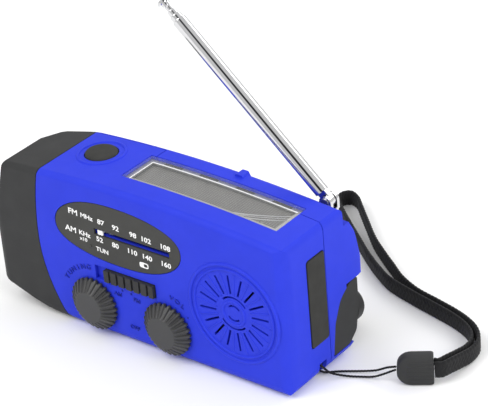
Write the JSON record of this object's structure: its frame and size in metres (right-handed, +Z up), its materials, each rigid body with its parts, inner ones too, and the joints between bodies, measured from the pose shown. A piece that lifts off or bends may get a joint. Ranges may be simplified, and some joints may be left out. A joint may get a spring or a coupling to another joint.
{
  "type": "hand-crank emergency radio",
  "caption": "Hand-crank solar emergency radio with a torch end, tuning dial, speaker grille, telescopic antenna, covered charging ports and a wrist strap.",
  "frame": {"origin": "middle of the flat base that the radio stands on", "axes": "+X to the right along the case, from the torch end to the port end; +Y from the front face to the back; +Z up"},
  "size_m": [0.1654, 0.121, 0.1148],
  "materials": {
    "blue_plastic": "lightly textured moulded plastic",
    "dark_plastic": "satin moulded plastic",
    "black_plastic": "satin moulded plastic",
    "white_plastic": "plain",
    "rubber": "matt",
    "chrome": "polished",
    "steel": "plain",
    "clear": "clear plastic",
    "solar": "fine striped cell",
    "silver_trim": "satin",
    "board": "circuit board lacquer",
    "paper": "pressed paper cone",
    "ferrite": "sintered",
    "battery_wrap": "shrink wrap",
    "nylon": "plain",
    "webbing": "woven nylon"
  },
  "bodies": {
    "case": {"band_switch": "steel", "battery": "battery_wrap", "case_screw_1": "steel", "case_screw_2": "steel", "case_screw_3": "steel", "crank_housing": "dark_plastic", "dial_cord": "nylon", "dial_guide": "nylon", "dial_plate": "dark_plastic", "dynamo_body": "steel", "ferrite_rod": "ferrite", "front_shell": "blue_plastic", "gearbox_front_plate": "steel", "gearbox_rear_plate": "steel", "housing_screw": "steel", "main_board": "board", "micro_usb_socket": "steel", "port_board": "board", "rear_shell": "blue_plastic", "solar_cell": "solar", "solar_frame": "silver_trim", "solar_window": "clear", "speaker_cone": "paper", "speaker_frame": "steel", "speaker_magnet": "ferrite", "strap_bar": "steel", "strap_ferrule": "dark_plastic", "strap_string": "webbing", "strap_webbing": "webbing", "torch_bezel": "dark_plastic", "torch_board": "board", "torch_led_1": "clear", "torch_led_2": "clear", "torch_led_3": "clear", "torch_lens": "clear", "torch_reflector": "chrome", "torch_switch": "black_plastic", "tuning_capacitor": "nylon", "usb_socket": "steel", "volume_control": "steel"},
    "tuning": {"tuning_knob": "dark_plastic", "tuning_drum": "nylon"},
    "pointer": {"dial_pointer": "white_plastic"},
    "volume": {"volume_knob": "dark_plastic"},
    "band": {"band_slider": "black_plastic"},
    "torch_button": {"torch_button": "rubber"},
    "port_cover": {"port_cover": "rubber"},
    "crank": {"crank_arm": "dark_plastic", "crank_screw": "steel", "crank_gear": "nylon"},
    "crank_knob": {"crank_knob": "black_plastic"},
    "idler": {"idler_gear": "nylon"},
    "rotor": {"dynamo_rotor": "steel"},
    "antenna_base": {"antenna_base": "chrome", "antenna_hinge_screw": "steel"},
    "antenna_1": {"antenna_tube_1": "chrome"},
    "antenna_2": {"antenna_tube_2": "chrome"},
    "antenna_3": {"antenna_tube_3": "chrome"},
    "antenna_4": {"antenna_tube_4": "chrome"},
    "antenna_5": {"antenna_tip": "chrome"}
  },
  "joints": [
    {"name": "tuning_turn", "type": "hinge", "parent": "case", "child": "tuning", "pos_m": [-0.0185, -0.02, 0.01235], "axis": [0, 1, 0], "range_deg": [0, 170]},
    {"name": "pointer_slide", "type": "slide", "parent": "case", "child": "pointer", "axis": [1, 0, 0], "range_m": [0, 0.0277]},
    {"name": "volume_turn", "type": "hinge", "parent": "case", "child": "volume", "pos_m": [0.0136, -0.02, 0.01235], "axis": [0, 1, 0], "range_deg": [0, 300]},
    {"name": "band_slide", "type": "slide", "parent": "case", "child": "band", "axis": [-1, 0, 0], "range_m": [0, 0.0042]},
    {"name": "torch_button_press", "type": "slide", "parent": "case", "child": "torch_button", "axis": [0, 0, -1], "range_m": [0, 0.0012], "stiffness_N_per_m": 400, "springref_m": -0.0003},
    {"name": "port_cover_open", "type": "hinge", "parent": "case", "child": "port_cover", "pos_m": [0.0642, 0.0017, 0.0302], "axis": [0, 0, 1], "range_deg": [0, 110]},
    {"name": "crank_turn", "type": "hinge", "parent": "case", "child": "crank", "pos_m": [0.01, 0.024, 0.017], "axis": [0, 1, 0], "continuous": true},
    {"name": "crank_knob_spin", "type": "hinge", "parent": "crank", "child": "crank_knob", "pos_m": [0.052, 0.028, 0.0081], "axis": [0, 1, 0], "continuous": true},
    {"name": "idler_turn", "type": "hinge", "parent": "case", "child": "idler", "pos_m": [0.01702, 0.007, 0.02917], "axis": [0, 1, 0], "continuous": true},
    {"name": "rotor_turn", "type": "hinge", "parent": "case", "child": "rotor", "pos_m": [0.02958, 0.004, 0.02917], "axis": [0, 1, 0], "continuous": true},
    {"name": "antenna_swivel", "type": "hinge", "parent": "case", "child": "antenna_base", "pos_m": [0.0562, 0.017, 0.05], "axis": [0, 0, 1], "range_deg": [-180, 0]},
    {"name": "antenna_tilt", "type": "hinge", "parent": "antenna_base", "child": "antenna_1", "pos_m": [0.0562, 0.017, 0.0553], "axis": [0, 1, 0], "range_deg": [-42.6, 47.4]},
    {"name": "antenna_slide_1", "type": "slide", "parent": "antenna_1", "child": "antenna_2", "axis": [-0.7361, 0, 0.6769], "range_m": [0, 0.058]},
    {"name": "antenna_slide_2", "type": "slide", "parent": "antenna_2", "child": "antenna_3", "axis": [-0.7361, 0, 0.6769], "range_m": [0, 0.058]},
    {"name": "antenna_slide_3", "type": "slide", "parent": "antenna_3", "child": "antenna_4", "axis": [-0.7361, 0, 0.6769], "range_m": [0, 0.058]},
    {"name": "antenna_slide_4", "type": "slide", "parent": "antenna_4", "child": "antenna_5", "axis": [-0.7361, 0, 0.6769], "range_m": [0, 0.058]}
  ],
  "couplings": [
    {"joint": "pointer_slide", "follows": "tuning_turn", "m_per_rad": 0.0093},
    {"joint": "idler_turn", "follows": "crank_turn", "ratio": -3.6667},
    {"joint": "rotor_turn", "follows": "crank_turn", "ratio": 14.667}
  ]
}
